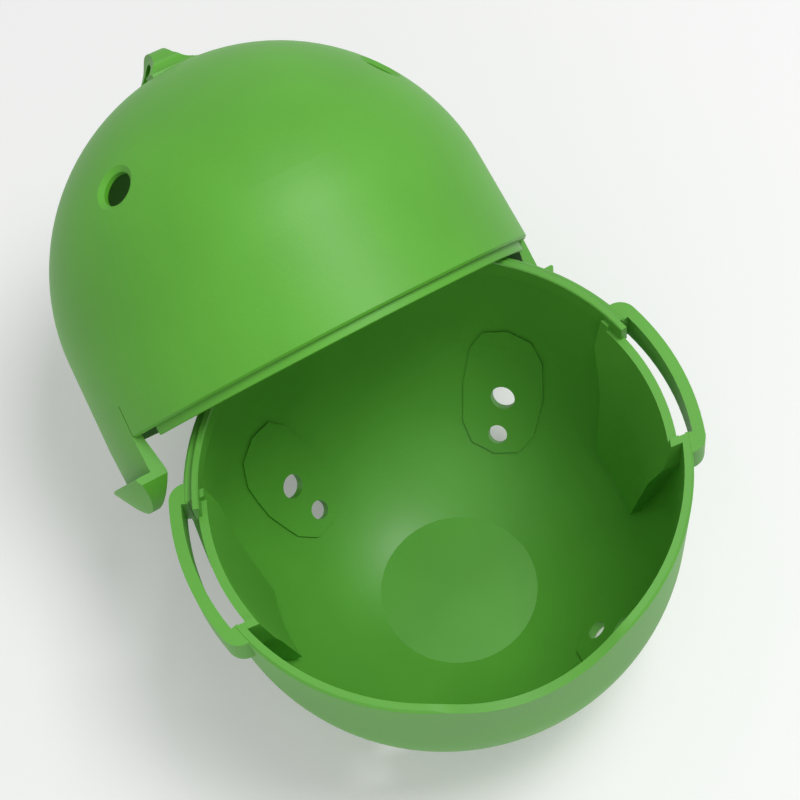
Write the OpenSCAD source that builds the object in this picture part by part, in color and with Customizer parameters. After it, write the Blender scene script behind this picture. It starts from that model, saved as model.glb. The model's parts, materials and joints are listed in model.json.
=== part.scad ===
// Round snap-shut carrying case for fruit: a deep bowl with a flat foot and a domed lid with a loop.
// Units are millimetres. The origin is the centre of the foot, +Z is up, the scoop faces -Y, and the
// two latch sockets sit on the -X and +X sides. In the laid pose the loose lid leans over the bowl's
// back rim with its own rim on the table.

/* [Case] */
// where the lid is: laid behind the bowl, or shut on it
lid_pose = "laid"; // [laid, closed]
// outside diameter of both halves at the rim
rim_d = 120; // [112:1:128]
// height of the lid's dome above its rim
dome_h = 80; // [76:1:86]
// how much of the bowl's dome its flat foot cuts off
foot_cut = 4; // [3:0.5:6]
// thickness of the walls
wall = 2.2; // [1.9:0.1:2.5]
// height of the rounded part of the dome, in twelfths of the rim's radius
dome_round = 11; // [10.8:0.01:11.2]
// draft of that side, in degrees
draft = 2.7; // [2:0.1:3.2]
// shoulder radius as a share of the dome's height above the side
shoulder = 0.973; // [0.94:0.001:0.98]
// chamfer along the outer corner of each rim
rim_edge = 0.6; // [0.3:0.1:0.9]

/* [Lid in the laid pose] */
// lean of the lid's axis away from upright, in degrees
lid_lean = 61.5; // [60:0.5:63]
// direction of the laid lid from straight behind the bowl, in degrees
lid_round = 10.5; // [9:0.5:12]
// turn of the laid lid as a whole, in degrees
lid_turn = 5.5; // [4:0.5:7]
// turn of the lid about its own axis, in degrees
lid_twist = 12; // [9:0.5:14]
// how far the laid lid stands back from touching the bowl
lid_back = 0.35; // [0.3:0.05:3]

/* [Tongues] */
// height of the locating tongues
tongue_h = 2.4; // [1.8:0.1:3]
// thickness of the locating tongues
tongue_t = 1.65; // [1.4:0.05:2]
// gap between a tongue and the wall it slides in
tongue_gap = 0.25; // [0.2:0.05:0.4]
// angle from the case's side at which the bowl's tongue ends
bowl_tongue_a = 13.5; // [12:0.5:15]
// angle from the case's side at which the lid's tongue ends
lid_tongue_a = 22; // [21:0.5:28]

/* [Latch arms] */
// width of a latch arm
arm_w = 30; // [28:0.5:31]
// slit on each side of an arm
arm_slit = 0.5; // [0.4:0.1:0.7]
// height above the lid's rim at which an arm joins the dome
arm_root = 8; // [6:0.5:10]
// gap across the root of an arm, where it bends
root_gap = 0.4; // [0.4:0.05:0.6]
// distance from the lid's rim down to the hook's ledge
hook_top = 9; // [8.8:0.1:9.5]
// distance from the lid's rim down to the hook's tip
hook_end = 18; // [17:0.5:19]
// reach of the hook outside the rim
hook_reach = 4; // [3.5:0.1:4.2]
// how much thicker the hook is than its arm, on the inside
hook_body = 1.5; // [1:0.1:1.7]
// radius of the hook's rounded lower edge
hook_round = 19.5; // [18.5:0.5:24]

/* [Latch sockets] */
// height of the keeper strap down from the bowl's rim
strap_h = 8.5; // [7.5:0.1:8.6]
// thickness of the keeper strap
strap_t = 2.9; // [2.5:0.1:3.1]
// gap between the keeper strap and the shut arm
strap_gap = 0.5; // [0.4:0.05:0.7]
// angle from the socket's middle to each end of its slot
slot_a = 16.5; // [16.2:0.1:17]
// outer radius of the socket's inner wall, as a distance in from the rim
pocket_in = 2.8; // [2.6:0.1:3]
// slope of the socket's inner wall, in degrees
pocket_slope = 9.6; // [8.5:0.1:10.5]
// drop of the socket's inner wall below the rim
pocket_drop = 2; // [1:0.1:3]
// distance of the pocket's rounded lower end from the dome's top
pocket_foot = 25; // [23:1:28]

/* [Finger scoop] */
// depth of the scoop in the bowl's front rim
scoop_drop = 5.3; // [4:0.1:6.5]
// radius of the scoop
scoop_r = 48; // [40:1:55]
// radius of the blends at the scoop's ends
scoop_blend = 14; // [8:1:18]

/* [Vents and loop] */
// hole in each lid vent
lid_vent_d = 8.8; // [7:0.1:9.5]
// dish round each lid vent
lid_dish_d = 12.4; // [11:0.1:13]
// distance of the lid vents from the dome's top, along its axis
lid_vent_drop = 25.5; // [23:0.5:28]
// angle of the lid vents from the front or the back
lid_vent_a = 51; // [47:1:53]
// upper hole of each bowl vent pair
bowl_vent_d = 6.6; // [5.6:0.1:7]
// lower hole of each bowl vent pair
bowl_low_d = 5.2; // [4.4:0.1:5.6]
// distance of the upper bowl vents from the dome's top, along its axis
bowl_vent_drop = 27; // [25:0.5:28]
// distance of the lower bowl vents from the dome's top, along its axis
bowl_low_drop = 18; // [17:0.5:19]
// distance of the pads' own zero line from the dome's top, along its axis
pad_drop = 13.5; // [13:0.5:14]
// angle of the bowl vents from the front or the back
bowl_vent_a = 40; // [37:1:42]
// thickness of the raised pads round the bowl vents
pad_t = 0.6; // [0.4:0.1:0.9]
// height of the carrying loop above the lid's top
loop_h = 6.2; // [5.8:0.1:7]
// span of the loop, front to back
loop_span = 15.6; // [15:0.1:17]
// thickness of the loop
loop_t = 2.5; // [2.2:0.1:2.9]
// width of the loop's strap at its feet
loop_w = 13; // [11:0.5:14]
// width of the loop's strap at its top
loop_top = 4.4; // [3.6:0.1:6]
// radius of the hollow sides that narrow the strap
loop_waist = 7.5; // [7:0.1:9]
// distance of the loop from the lid's axis, towards the left arm
loop_off = 3.5; // [2:0.1:5]

/* [Hidden] */
$fn = 64;
green = [0.4, 0.69, 0.24];
rim_r = rim_d / 2;
rim_in = rim_r - wall / cos(draft);
skirt_h = dome_h - dome_round * rim_r / 12;
side_r = shoulder * (dome_h - skirt_h);
side_x = rim_r - skirt_h * tan(draft) - side_r * cos(draft);
side_y = skirt_h - side_r * sin(draft);
side_u = side_y - dome_h;
crown_r = (side_r * side_r - side_u * side_u - side_x * side_x) / (2 * (side_u + side_r));
crown_y = dome_h - crown_r;
join_a = atan2(side_y - crown_y, side_x);
far = 3 * rim_r;
bowl_h = dome_h - foot_cut;
pocket_end = dome_h - pocket_foot;
hook_in = rim_in - hook_body;
hook_low = hook_in + 0.8;
tongue_out = rim_in - tongue_gap;
tongue_in = tongue_out - tongue_t;
strap_in = rim_r + strap_gap;
strap_out = strap_in + strap_t;
pocket_r = rim_r - pocket_in;
pocket_w = 2 * strap_in * sin(slot_a) - 0.2;
// laid lid: its lower rim edge is on the table
laid_z = rim_r * sin(lid_lean) - rim_edge * cos(lid_lean);

function about_z(p, a) = [p.x * cos(a) - p.y * sin(a), p.x * sin(a) + p.y * cos(a), p.z];
function about_x(p, a) = [p.x, p.y * cos(a) - p.z * sin(a), p.y * sin(a) + p.z * cos(a)];

// point of the lid turned as the laid lid is, seen from the bowl's axis along the way the lid moves back
function laid(p) = about_z(about_x(about_z(p, lid_twist), -lid_lean), lid_turn - lid_round);

// how far back the lid has to be for one of its points to touch the bowl
function touch_y(q) =
  let (h = q.z + laid_z, r = h < bowl_h ? rim_r : h < bowl_h + tongue_h ? tongue_out : 0)
  abs(q.x) < r ? sqrt(r * r - q.x * q.x) - q.y : 0;

// inside edges of the laid lid that can touch
lid_edges = [for (a = [181:359]) for (h = concat([-tongue_h], [for (i = [0:8]) 3 * i]))
  let (r = h <= 0 ? tongue_in : rim_in - h * tan(draft)) laid([r * cos(a), r * sin(a), h])];
laid_y = lid_back + max([for (q = lid_edges) touch_y(q)]);

// half section of the solid dome with its skin moved inward, from a height upward
module dome_face(in = 0, low = 0) {
  tx = side_x + (side_r - in) * cos(draft);
  ty = side_y + (side_r - in) * sin(draft);
  jx = (crown_r - in) * cos(join_a);
  jy = crown_y + (crown_r - in) * sin(join_a);
  polygon([[0, low], [tx + (ty - low) * tan(draft), low], [tx, ty], [jx, jy], [0, dome_h - in - 3]]);
  intersection() {
    translate([side_x, side_y]) circle(r = side_r - in);
    polygon([[tx, ty], [tx + 30, ty + 30 * tan(draft)], [jx + 30, jy + 30 * tan(join_a)],
      [jx, jy], [jx - 9, jy - 9]]);
  }
  intersection() {
    translate([0, crown_y]) circle(r = crown_r - in);
    polygon([[jx, jy], [jx + 60, jy + 60 * tan(join_a)], [far, far], [0, far],
      [0, dome_h - in - 9]]);
  }
}

// solid dome standing on its rim
module dome(in = 0, low = 0) rotate_extrude() dome_face(in, low);

// wall of one half; the floor argument is where a flat end cuts the dome off
module shell(top = 200) {
  rotate_extrude() difference() {
    intersection() {
      dome_face();
      square([far, top]);
    }
    intersection() {
      dome_face(wall, -1);
      translate([0, -1]) square([far, top - wall + 1]);
    }
    polygon([[rim_r - rim_edge - 1, -1], [rim_r + 2, -1], [rim_r + 2, rim_edge + 2]]);
  }
}

// sector of a ring section, centred on an angle
module sector(mid, half) rotate([0, 0, mid - half]) rotate_extrude(angle = 2 * half) children();

// bowl parts are built with the rim at zero and depth going up, then turned over
module turned_over() translate([0, 0, bowl_h]) mirror([0, 0, 1]) children();

module both_sides() for (a = [0, 180]) rotate([0, 0, a]) children();

// points along an arc
function arc(x, y, r, from, to, n) =
  [for (i = [0:n]) [x + r * cos(from + (to - from) * i / n), y + r * sin(from + (to - from) * i / n)]];

// upper part of a latch pocket's outline, across its width and depth, with its edge moved inward
module pocket_side(in = 0) {
  w = pocket_w / 2 - in;
  end = pocket_end - 5;
  polygon([[-w, -3], [w, -3], [w, 10.5], [w - 2.6, 18.5], [11.8 - in, 27], [8 - in, end],
    [-8 + in, end], [-11.8 + in, 27], [-w + 2.6, 18.5], [-w, 10.5]]);
}

// rounded lower end of that outline
module pocket_low(in = 0) translate([0, pocket_end - 9]) circle(r = 9 - in);

// prism along +X that carries an outline in depth and width
module along_x(from = 20, to = 75)
  translate([from, 0, 0]) rotate([90, 0, 90]) linear_extrude(to - from) children();

// cone inside the sloping inner wall of a pocket
module pocket_cone(in = 0) {
  r = pocket_r - in;
  translate([0, 0, -4]) cylinder(h = 80, r1 = r + 4 * tan(pocket_slope), r2 = r - 76 * tan(pocket_slope));
}

// keeper strap with rounded ends that run into the bowl's wall
module strap() {
  translate([0, 0, 0.2]) linear_extrude(strap_h - 0.2) difference() {
    union() {
      intersection() {
        circle(r = strap_out);
        polygon([[0, 0], [far, far * tan(slot_a + 1)], [far, -far * tan(slot_a + 1)]]);
      }
      for (s = [-1, 1]) rotate([0, 0, s * (slot_a + 1)]) translate([rim_r - 1, 0])
        circle(r = strap_out - rim_r + 1);
    }
    circle(r = rim_r - 1.2);
    intersection() {
      circle(r = strap_in);
      polygon([[0, 0], [far, far * tan(slot_a)], [far, -far * tan(slot_a)]]);
    }
  }
}

// section of a tongue, which stands past the rim and reaches down inside the wall
module tongue_face()
  polygon([[tongue_in, 3], [tongue_in, -tongue_h + 0.3], [tongue_in + 0.3, -tongue_h],
    [tongue_out - 0.2, -tongue_h], [tongue_out, -tongue_h + 0.2], [tongue_out, 3]]);

// section of the web that joins a tongue to the wall
module tongue_root()
  polygon([[tongue_in + 0.1, 1.4], [tongue_out - 0.3, 0.4], [tongue_out + 1, 0.9],
    [tongue_out + 1, 5.5], [tongue_in + 0.1, 2.8]]);

// outline of the raised pad round a bowl vent pair, lower end at zero
module pad_outline() polygon([for (t = [0:30:330])
  [11 * sign(cos(t)) * pow(abs(cos(t)), 0.75), 19 + 18 * sign(sin(t)) * pow(abs(sin(t)), 0.75)]]);

// places a child on the dome's skin at an angle and a height, its +Z pointing out
module on_skin(a, h)
  rotate([0, 0, a]) translate([0, 0, crown_y])
    rotate([0, 90 - asin((h - crown_y) / crown_r), 0]) children();

// hole with a chamfered or dished mouth on the outside
module vent(hole_d, dish_d, deep) {
  translate([0, 0, crown_r - wall - 4]) cylinder(h = wall + 8, d = hole_d);
  slope = (dish_d - hole_d) / 2 / deep;
  translate([0, 0, crown_r - deep])
    cylinder(h = deep + 1, d1 = hole_d, d2 = dish_d + 2 * slope);
}

// cutters for the finger scoop: its arc, and the blends where it meets the rim
module scoop_round()
  translate([0, 0, bowl_h + scoop_r - scoop_drop]) rotate([90, 0, 0])
    cylinder(h = 70, r = scoop_r, $fn = 128);

module scoop_corner(side) {
  cy = scoop_r - scoop_drop;
  fx = sqrt(pow(scoop_r + scoop_blend - 0.02, 2) - pow(cy + scoop_blend, 2));
  lean = atan2(cy + scoop_blend, fx);
  turn = side > 0 ? 0 : 180;
  translate([0, side > 0 ? 0 : -70, bowl_h]) rotate([90, 0, turn]) linear_extrude(70)
    polygon(concat([[fx, 1], [0, 1], [fx / 2, -scoop_drop * 0.45]],
      arc(fx, -scoop_blend, scoop_blend, 180 - lean, 90, 8)));
}

// skin on the inside of the wall that the vent pads are cut from
module pad_skin() rotate_extrude() difference() {
  dome_face(wall - 0.4);
  dome_face(wall + pad_t, -1);
}

module vent_pads() for (a = [bowl_vent_a, -bowl_vent_a]) for (b = [90, 270]) intersection() {
  pad_skin();
  on_skin(b + a, dome_h - pad_drop) translate([0, 0, 20]) linear_extrude(60)
    rotate([0, 0, -90]) pad_outline();
}

// inner wall of a latch pocket, before the pocket is cut
module pocket_wall(part) intersection() {
  dome(wall / 2);
  difference() {
    along_x() if (part == 0) pocket_side(-1.8); else pocket_low(-1.8);
    pocket_cone(wall);
  }
}

module pocket_room(part) difference() {
  along_x() if (part == 0) pocket_side(); else pocket_low();
  pocket_cone();
}

module bowl_wall() {
  difference() {
    union() {
      union() {
        shell(bowl_h);
        both_sides() pocket_wall(0);
        vent_pads();
      }
      both_sides() pocket_wall(1);
    }
    both_sides() pocket_room(0);
  }
}

module bowl() {
  color(green) difference() {
    difference() {
      turned_over() {
        difference() {
          bowl_wall();
          both_sides() pocket_room(1);
          both_sides() translate([rim_r - 12, 0.3 - pocket_w / 2, -1])
            cube([12 - 1.5, pocket_w - 0.6, pocket_drop + 1]);
          for (a = [bowl_vent_a, -bowl_vent_a]) for (b = [90, 270]) {
            on_skin(b + a, dome_h - bowl_vent_drop) vent(bowl_vent_d, bowl_vent_d + 1.2, 0.7);
            on_skin(b + a, dome_h - bowl_low_drop) vent(bowl_low_d, bowl_low_d + 1.2, 0.7);
          }
        }
        both_sides() strap();
        sector(90, 90 - bowl_tongue_a) tongue_face();
        sector(90, 90 - slot_a - 1.8) tongue_root();
      }
      scoop_round();
    }
    scoop_corner(1);
    scoop_corner(-1);
  }
}

module laid_or_closed() {
  if (lid_pose == "laid") rotate([0, 0, lid_round]) translate([0, laid_y, laid_z])
    rotate([0, 0, lid_turn - lid_round]) rotate([-lid_lean, 0, 0]) rotate([0, 0, lid_twist]) children();
  else translate([0, 0, bowl_h]) children();
}

// carrying loop: a strap bent into an arch, with flared feet and a narrow top
module loop() {
  r = loop_span / 2;
  cz = dome_h + loop_h - r;
  difference() {
    difference() {
      translate([-loop_off - loop_w / 2, 0, 0]) rotate([90, 0, 90]) linear_extrude(loop_w) {
        difference() {
          union() {
            translate([0, cz]) circle(r = r);
            for (s = [-1, 1]) difference() {
              polygon([[s * 3, dome_h - 3], [s * (r + 3.2), dome_h - 3],
                [s * (r + 3.2), dome_h - 1], [s * (r - 1.2), dome_h + 3]]);
              translate([s * (r + 3), dome_h + 2.4]) circle(r = 3.3);
            }
          }
          translate([0, cz]) circle(r = r - loop_t);
        }
      }
      for (s = [-1, 1])
        translate([s * (loop_top / 2 + loop_waist) - loop_off, 20, dome_h + loop_h + 0.3])
          rotate([90, 0, 0]) cylinder(h = 40, r = loop_waist);
    }
    dome(wall / 2, -1);
  }
}

module lid() {
  color(green) laid_or_closed() {
    difference() {
      shell();
      both_sides() translate([40, -arm_w / 2 - arm_slit, -1])
        cube([30, arm_w + 2 * arm_slit, arm_root + root_gap + 1]);
      for (a = [lid_vent_a, -lid_vent_a]) for (b = [90, 270])
        on_skin(b + a, dome_h - lid_vent_drop) vent(lid_vent_d, lid_dish_d, 1.2);
    }
    loop();
    sector(270, 90 - lid_tongue_a) tongue_face();
    sector(270, 89 - lid_tongue_a) tongue_root();
  }
}

// latch arm on the +X side of the lid's own frame
module latch_arm() {
  beak = rim_r + hook_reach;
  in = arm_root * tan(draft);
  intersection() {
    rotate([0, 0, -30]) rotate_extrude(angle = 60)
      polygon([[rim_in - in, arm_root], [rim_in, 0], [hook_in, -hook_top - 1],
        [hook_low, -hook_end], [rim_r - 0.6, -hook_end],
        [beak, -hook_top - 0.5], [beak - 0.4, -hook_top], [rim_r, -hook_top], [rim_r, 0],
        [rim_r - in, arm_root]]);
    along_x(40, 75) {
      intersection() {
        translate([0, hook_round - hook_end]) circle(r = hook_round);
        translate([-arm_w / 2, -hook_end - 1]) square([arm_w, hook_end - hook_top + 1]);
      }
      translate([-arm_w / 2, -hook_top - 0.5]) square([arm_w, arm_root + hook_top + 2]);
    }
  }
}

module latch_arm_left()
  color(green) laid_or_closed() rotate([0, 0, 180]) latch_arm();

module latch_arm_right()
  color(green) laid_or_closed() latch_arm();

bowl();
lid();
latch_arm_left();
latch_arm_right();
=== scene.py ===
# %% [markdown]
# This scene dresses a round, snap-shut case for fruit: a deep bowl, and a domed lid that lies
# behind it, leaning over its back rim. Both are moulded in green plastic. The shapes come from the
# imported model, which is loaded as a fixed frame. Blender adds what the model lacks: a band of wall
# at the root of each latch arm, the grain of the moulded skin, its sheen, and the light.

import json
from math import asin, cos, degrees, pi, radians, sin, tan

import bmesh
import bpy
from mathutils import Matrix, Vector


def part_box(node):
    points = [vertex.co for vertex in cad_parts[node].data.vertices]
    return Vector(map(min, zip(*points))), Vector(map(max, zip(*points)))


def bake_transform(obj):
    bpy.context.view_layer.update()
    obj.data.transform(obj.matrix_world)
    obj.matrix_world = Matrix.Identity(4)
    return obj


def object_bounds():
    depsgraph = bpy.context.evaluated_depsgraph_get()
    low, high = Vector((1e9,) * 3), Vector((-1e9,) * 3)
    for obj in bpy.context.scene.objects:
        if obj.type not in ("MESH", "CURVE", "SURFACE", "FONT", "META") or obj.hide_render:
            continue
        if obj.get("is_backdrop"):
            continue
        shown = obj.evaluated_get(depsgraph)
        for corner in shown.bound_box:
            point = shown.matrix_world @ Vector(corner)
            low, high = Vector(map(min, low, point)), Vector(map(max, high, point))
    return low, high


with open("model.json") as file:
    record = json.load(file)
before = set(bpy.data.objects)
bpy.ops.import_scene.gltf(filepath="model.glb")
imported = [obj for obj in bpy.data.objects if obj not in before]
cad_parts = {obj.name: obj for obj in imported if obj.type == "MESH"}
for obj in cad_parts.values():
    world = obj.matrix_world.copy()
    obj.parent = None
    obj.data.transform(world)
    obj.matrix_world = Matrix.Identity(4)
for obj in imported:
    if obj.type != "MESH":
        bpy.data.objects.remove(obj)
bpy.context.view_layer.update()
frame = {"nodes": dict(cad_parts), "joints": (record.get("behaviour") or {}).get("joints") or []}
MM = 0.001
print("the case's pieces:", sorted(frame["nodes"]))

# %% [markdown]
# The camera comes first, because everything else is judged through it. It looks down steeply into
# the bowl, from a little to its left, and it is held slightly turned. Its place is worked out from
# the centre of the bowl's rim: so far back along the line of sight, then a little to the side, so
# that no lens shift is needed. The focal length was found in pixels, so the picture's width turns
# it into a length on the sensor.

# %% Camera
tongue_height = 2.4 * MM
bowl_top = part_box("bowl")[1].z
rim_height = bowl_top - tongue_height
camera_azimuth = radians(-11.92)
camera_elevation = radians(61.39)
camera_roll = radians(-12.26)
camera_distance = 458.94 * MM
step_right = -4.70 * MM
step_up = 17.23 * MM
sensor_width = 36
picture_width_px = 800
focal_length_px = 1961.1
nearest_seen = 0.02
farthest_seen = 20

back = Vector((sin(camera_azimuth) * cos(camera_elevation),
               -cos(camera_azimuth) * cos(camera_elevation),
               sin(camera_elevation)))
right = Vector((cos(camera_azimuth), sin(camera_azimuth), 0))
up = back.cross(right)

camera = bpy.data.objects.new("camera", bpy.data.cameras.new("camera"))
bpy.context.scene.collection.objects.link(camera)
bpy.context.scene.camera = camera
camera.data.sensor_width = sensor_width
camera.data.lens = sensor_width * focal_length_px / picture_width_px
camera.data.clip_start = nearest_seen
camera.data.clip_end = farthest_seen
rim_centre = Vector((0, 0, rim_height))
camera.location = rim_centre + back * camera_distance + right * step_right + up * step_up
side_axis = right * cos(camera_roll) + up * sin(camera_roll)
top_axis = up * cos(camera_roll) - right * sin(camera_roll)
camera.rotation_mode = "QUATERNION"
camera.rotation_quaternion = Matrix((side_axis, top_axis, back)).transposed().to_quaternion()
camera_place = tuple(round(v, 4) for v in camera.location)
print(f"the camera is at {camera_place}, with a {camera.data.lens:.1f} mm lens")

# %% [markdown]
# The lid was laid down at its own angle, so its roots are easier to model in the lid's own frame:
# rim at height zero, dome upwards, one latch arm on each side. That frame needn't be measured,
# because the two latch hinges already say it. The line between them is the lid's X, their shared
# axis is its Y, and the hinge height is known. The hinges sit a little inside the wall, where the
# bend of a thick wall has its middle, so the wall's own radius is worked out from the rim.

# %% The lid's own frame
arm_root_height = 8 * MM
hinges = {joint["name"]: joint for joint in frame["joints"] if joint["type"] == "hinge"}
hinge_left = Vector(hinges["latch_left_flex"]["pos_m"])
hinge_right = Vector(hinges["latch_right_flex"]["pos_m"])
lid_x = (hinge_right - hinge_left).normalized()
lid_y = Vector(hinges["latch_right_flex"]["axis"]).normalized()
lid_z = lid_x.cross(lid_y)
lid_centre = (hinge_left + hinge_right) / 2 - lid_z * arm_root_height
lid_place = Matrix((lid_x, lid_y, lid_z)).transposed().to_4x4()
lid_place.translation = lid_centre
hinge_radius = (hinge_right - hinge_left).length / 2
lid_lean = degrees(lid_z.angle(Vector((0, 0, 1))))
print(f"the lid leans {lid_lean:.1f} degrees; its hinges are {hinge_radius / MM:.1f} mm out")

# %% [markdown]
# On the real lid each latch arm grows straight out of the wall, and the wall bends there. The frame
# has a hairline gap across that root, so that the arm can turn. A short curved band of wall fills
# it: a small square face is spun round the lid's axis, its two ends are cut off flat beside the
# slits, and rows of edges are added across the gap, where the real wall bends. It stands a hair
# inside both skins, so it never flickers against them.

# %% Roots of the latch arms
rim_radius = 60 * MM
wall = 2.2 * MM
draft = radians(2.7)
root_radius = rim_radius - wall / 2 - arm_root_height * tan(draft)
arm_width = 30 * MM
root_gap = 0.4 * MM
root_lap = 0.6 * MM
root_inset = 0.05 * MM
root_spare = 1 * MM
root_steps = 24
bend_rows = 6
weld_distance = 0.001 * MM


def wall_band(low, high, inset):
    """A curved band of the lid's wall on its +X side, as a bmesh in the lid's own frame."""
    band = bmesh.new()
    half = wall / 2 - inset
    outline = [(half, low), (half, high), (-half, high), (-half, low)]
    sweep = asin((arm_width / 2 + root_spare) / root_radius)
    corners = []
    for out, height in outline:
        radius = root_radius + out - (height - arm_root_height) * tan(draft)
        corners.append(band.verts.new((radius * cos(sweep), -radius * sin(sweep), height)))
    face = band.faces.new(corners)
    bmesh.ops.spin(band, geom=[face], cent=(0, 0, 0), axis=(0, 0, 1), angle=2 * sweep,
                   steps=root_steps, use_duplicate=False)
    return band


def cut_flat(band, side):
    """Cuts a band's end off flat on one side, where the arm's slit is, and closes the cut."""
    edge = Vector((0, side * (arm_width / 2 - root_inset), 0))
    bmesh.ops.bisect_plane(band, geom=band.verts[:] + band.edges[:] + band.faces[:],
                           plane_co=edge, plane_no=(0, side, 0), clear_outer=True)
    open_edges = [e for e in band.edges if e.is_boundary]
    bmesh.ops.holes_fill(band, edges=open_edges, sides=0)


def latch_root(name, arm, turn):
    """The root band of one latch arm, which fills the gap between the arm and the lid."""
    band = wall_band(arm_root_height - root_lap, arm_root_height + root_gap + root_lap, root_inset)
    for side in (1, -1):
        cut_flat(band, side)
    for row in range(bend_rows + 1):
        height = arm_root_height + root_gap * row / bend_rows
        bmesh.ops.bisect_plane(band, geom=band.verts[:] + band.edges[:] + band.faces[:],
                               plane_co=(0, 0, height), plane_no=(0, 0, 1))
    bmesh.ops.remove_doubles(band, verts=band.verts[:], dist=weld_distance)
    bmesh.ops.recalc_face_normals(band, faces=band.faces[:])
    bmesh.ops.transform(band, matrix=lid_place @ Matrix.Rotation(turn, 4, "Z"), verts=band.verts[:])
    mesh = bpy.data.meshes.new(name)
    band.to_mesh(mesh)
    band.free()
    root = bpy.data.objects.new(name, mesh)
    bpy.context.scene.collection.objects.link(root)
    bend_from = lid_centre + lid_z * arm_root_height
    bend_to = bend_from + lid_z * root_gap
    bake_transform(root)
    print(f"{name}: {len(mesh.polygons)} faces between {arm} and the lid")
    return root


roots = [latch_root("latch_root_left", "latch_arm_left", pi),
         latch_root("latch_root_right", "latch_arm_right", 0)]

# %% [markdown]
# Shader sums read best as sums. One small class wraps a socket, so that Python's own signs add the
# Math nodes, and one method makes every other node: its settings first, because some nodes change
# their sockets with them, and then the values or links of its inputs.

# %% Shader sums


class Socket:
    """An output socket that Python can do sums with."""

    def __init__(self, finish, output):
        self.finish = finish
        self.output = output

    def sum(self, operation, first, second):
        return self.finish.node("ShaderNodeMath", {"operation": operation}, {0: first, 1: second})

    def __add__(self, other):
        return self.sum("ADD", self, other)

    def __radd__(self, other):
        return self.sum("ADD", other, self)

    def __mul__(self, other):
        return self.sum("MULTIPLY", self, other)

    def __rmul__(self, other):
        return self.sum("MULTIPLY", other, self)


class Finish:
    """A material or world being built: its node tree, and the one method that adds nodes to it."""

    def __init__(self, owner):
        self.owner = owner
        owner.use_nodes = True
        self.tree = owner.node_tree
        self.tree.nodes.clear()

    def node(self, kind, settings=None, inputs=None, out=0):
        made = self.tree.nodes.new(kind)
        for key, value in (settings or {}).items():
            if key == "stops":
                for element, (place, colour) in zip(made.color_ramp.elements, value):
                    element.position = place
                    element.color = colour
            else:
                setattr(made, key, value)
        for key, value in (inputs or {}).items():
            if isinstance(value, Socket):
                self.tree.links.new(value.output, made.inputs[key])
            else:
                made.inputs[key].default_value = value
        return Socket(self, made.outputs[out])

    def surface(self, shader, kind="ShaderNodeOutputMaterial"):
        end = self.tree.nodes.new(kind)
        self.tree.links.new(shader.output, end.inputs["Surface"])
        return self.owner


# %% [markdown]
# The case is moulded in one green plastic. The bowl's green is a little more olive than the lid's,
# and that cast is painted light: it stands in for the pale light thrown on the bowl's skin. The
# outside has a fine spark-eroded grain, and the inside is smoother. Which side a point is on needs
# no second material: on the outside the surface faces away from the middle of its dome, so the sign
# of that dot product tells. The grain is fine noise that feeds a bump and darkens its own pits a
# little. Slow noise gives the faint clouding of moulded plastic, and a few long, thin marks give it
# wear.

# %% Moulded plastic
dome_middle = 21 * MM
grain_size = 0.55 * MM
grain_depth = 0.035 * MM
cloud_size = 30 * MM
scuff_length = 14 * MM
scuff_width = 0.9 * MM
inside_below, outside_above = -0.15, 0.25
grain_share = 0.25
inner_grain = 0.25
tint_dark, tint_light = (0.36, 0.93), (0.64, 1.05)
scuff_from, scuff_full = 0.70, 0.78
scuff_strength, scuff_light = 0.14, 1.5
bump_strength = 0.8
plain_roughness = 0.37
grain_roughness = 0.08
cloud_roughness = 0.08
scuff_roughness = 0.1
plastic_ior = 1.49


def shade(colour, factor):
    """A colour made lighter or darker, as four numbers."""
    return tuple(channel * factor for channel in colour) + (1,)


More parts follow.
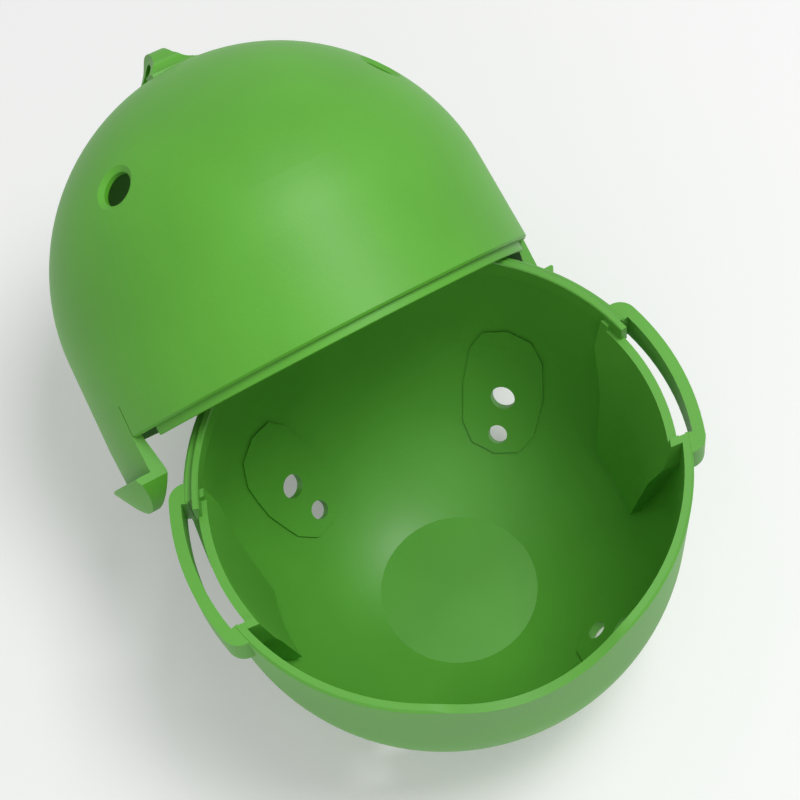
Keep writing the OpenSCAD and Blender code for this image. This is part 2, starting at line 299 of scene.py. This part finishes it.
def moulded_plastic(name, colour, middle, scuff_turn):
    """Grained outside, smooth inside: one finish for a moulded dome whose middle is given."""
    finish = Finish(bpy.data.materials.new(name))
    place = finish.node("ShaderNodeTexCoord", out="Object")
    facing = finish.node("ShaderNodeTexCoord", out="Normal")
    outwards = finish.node("ShaderNodeVectorMath", {"operation": "SUBTRACT"}, {0: place, 1: middle})
    outwards = finish.node("ShaderNodeVectorMath", {"operation": "NORMALIZE"}, {0: outwards})
    side = finish.node("ShaderNodeVectorMath", {"operation": "DOT_PRODUCT"}, {0: outwards, 1: facing},
                       out="Value")
    outside = finish.node("ShaderNodeMapRange", {"interpolation_type": "SMOOTHSTEP"},
                          {"Value": side, "From Min": inside_below, "From Max": outside_above})
    grain = finish.node("ShaderNodeTexNoise", {"noise_dimensions": "3D"},
                        {"Vector": place, "Scale": 1 / grain_size, "Detail": 3, "Roughness": 0.6})
    clouds = finish.node("ShaderNodeTexNoise", None,
                         {"Vector": place, "Scale": 1 / cloud_size, "Detail": 2, "Roughness": 0.5})
    stretched = finish.node("ShaderNodeMapping", None,
                            {"Vector": place, "Rotation": scuff_turn,
                             "Scale": (1 / scuff_width, 1 / scuff_length, 1 / scuff_width)})
    scratches = finish.node("ShaderNodeTexNoise", None,
                            {"Vector": stretched, "Scale": 1, "Detail": 2, "Roughness": 0.4})
    scuffs = finish.node("ShaderNodeMapRange", None,
                         {"Value": scratches, "From Min": scuff_from, "From Max": scuff_full})
    worn = scuffs * outside
    stops = [(spot, shade(colour, factor)) for spot, factor in (tint_dark, tint_light)]
    tint = finish.node("ShaderNodeValToRGB", {"stops": stops},
                       {"Fac": clouds * (1 - grain_share) + grain * grain_share}, out="Color")
    paint = finish.node("ShaderNodeMix", {"data_type": "RGBA"},
                        {"Factor": worn * scuff_strength, "A": tint, "B": shade(colour, scuff_light)},
                        out="Result")
    height = grain * (inner_grain + outside * (1 - inner_grain))
    skin = finish.node("ShaderNodeBump", None,
                       {"Strength": bump_strength, "Distance": grain_depth, "Height": height})
    roughness = (plain_roughness + outside * grain_roughness + clouds * cloud_roughness
                 + worn * scuff_roughness)
    shader = finish.node("ShaderNodeBsdfPrincipled", None,
                         {"Base Color": paint, "Roughness": roughness, "Normal": skin,
                          "IOR": plastic_ior})
    print(f"{name}: grain {grain_size / MM:.2f} mm")
    return finish.surface(shader)


# %% [markdown]
# Each moulding gets its own green, its own middle, and a turn of its own for the thin marks, so that
# those on the lid and on the bowl don't run the same way.

# %% The two greens
lid_green = (0.100, 0.400, 0.026)
# The bowl's green is more olive than the lid's: that cast is painted light on the same plastic.
bowl_green_with_painted_light = (0.106, 0.385, 0.040)
bowl_middle = (0, 0, rim_height - dome_middle)
lid_middle = tuple(lid_centre + lid_z * dome_middle)
lid_scuff_turn = (0.5, 0.2, 0.4)
bowl_scuff_turn = (0.2, 0.6, 1.1)
lid_plastic = moulded_plastic("lid_plastic", lid_green, lid_middle, lid_scuff_turn)
bowl_plastic = moulded_plastic("bowl_plastic", bowl_green_with_painted_light, bowl_middle, bowl_scuff_turn)

# %% [markdown]
# A node of the frame keeps its mesh and only changes its finish: the new material takes the place
# of the one in its slot. The roots get the lid's finish too, so that they read as the same
# moulding.

# %% Finishes on the pieces
for name, node in frame["nodes"].items():
    finish = bowl_plastic if name == "bowl" else lid_plastic
    node.data.materials.clear()
    node.data.materials.append(finish)
for root in roots:
    root.data.materials.append(lid_plastic)
print("finishes:", {name: node.data.materials[0].name for name, node in frame["nodes"].items()})

# %% [markdown]
# The floor and the backdrop stay plain and pale. They aren't part of the object, so they are
# staged. The floor is a matt sheet that the case can throw its soft shadow on. The camera, and what
# shines in the plastic, see it a little brighter than the case does, so it turns almost white with
# no more light on the object.

# %% Floor
floor_size = 3.0
floor_drop = 0.05 * MM
floor_albedo = 0.8
floor_glow = 0.22


def pale_sheet(name, albedo, glow):
    """A matt sheet that the camera and reflections see brighter by a glow."""
    finish = Finish(bpy.data.materials.new(name))
    rays = finish.node("ShaderNodeLightPath", out="Is Camera Ray")
    mirror = finish.node("ShaderNodeLightPath", out="Is Glossy Ray")
    matt = finish.node("ShaderNodeBsdfDiffuse", None, {"Color": (albedo, albedo, albedo, 1)})
    light = finish.node("ShaderNodeEmission", None,
                        {"Color": (1, 1, 1, 1), "Strength": (rays + mirror) * glow})
    both = finish.node("ShaderNodeAddShader", None, {0: matt, 1: light})
    return finish.surface(both)


sheet = bmesh.new()
bmesh.ops.create_grid(sheet, x_segments=1, y_segments=1, size=floor_size / 2,
                      matrix=Matrix.Translation((0, 0, -floor_drop)))
floor_mesh = bpy.data.meshes.new("floor")
sheet.to_mesh(floor_mesh)
sheet.free()
floor = bpy.data.objects.new("floor", floor_mesh)
bpy.context.scene.collection.objects.link(floor)
floor.data.materials.append(pale_sheet("pale_floor", floor_albedo, floor_glow))
floor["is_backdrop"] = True
print(f"the floor is {floor_size:.0f} m across")

# %% [markdown]
# Soft light, as in a small studio: a lamp high on the right, which draws the broad sheen on the
# middle of the lid, a weaker one from the left front, and an even, pale world that fills the
# shadows. Their powers are kept at a plain level, where a colour renders about as it is written.

# %% Light


def soft_lamp(name, place, aim, size, power):
    """A square area lamp at a place, facing a point, all in metres and watts."""
    lamp = bpy.data.lights.new(name, "AREA")
    lamp.shape = "SQUARE"
    lamp.size = size
    lamp.energy = power
    holder = bpy.data.objects.new(name, lamp)
    holder.location = place
    holder.rotation_mode = "QUATERNION"
    holder.rotation_quaternion = (Vector(aim) - Vector(place)).to_track_quat("-Z", "Y")
    bpy.context.scene.collection.objects.link(holder)
    print(f"{name}: {power} W")


aim = (0, 0.03, 0.06)
soft_lamp("key_lamp", place=(0.34, -0.10, 0.98), aim=aim, size=0.4, power=5.7)
soft_lamp("fill_lamp", place=(-0.45, -0.80, 0.55), aim=aim, size=0.7, power=1.2)

world = bpy.data.worlds.new("studio")
bpy.context.scene.world = world
room = Finish(world)
seen = (room.node("ShaderNodeLightPath", out="Is Camera Ray")
        + room.node("ShaderNodeLightPath", out="Is Glossy Ray"))
room_level = 0.38
background = room.node("ShaderNodeBackground", None,
                       {"Color": (1, 1, 1, 1), "Strength": room_level + seen * (1 - room_level)})
room.surface(background, "ShaderNodeOutputWorld")
bpy.context.scene.view_settings.view_transform = "Standard"
print("the world's level:", room_level)

# %% [markdown]
# Last, the finished model's box is worked out, leaving out the floor, and printed in millimetres.

# %% Sizes, and the end
visual_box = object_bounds()
box_mm = [[round(v / MM, 1) for v in corner] for corner in visual_box]
print("the finished model's box, in mm:", box_mm)
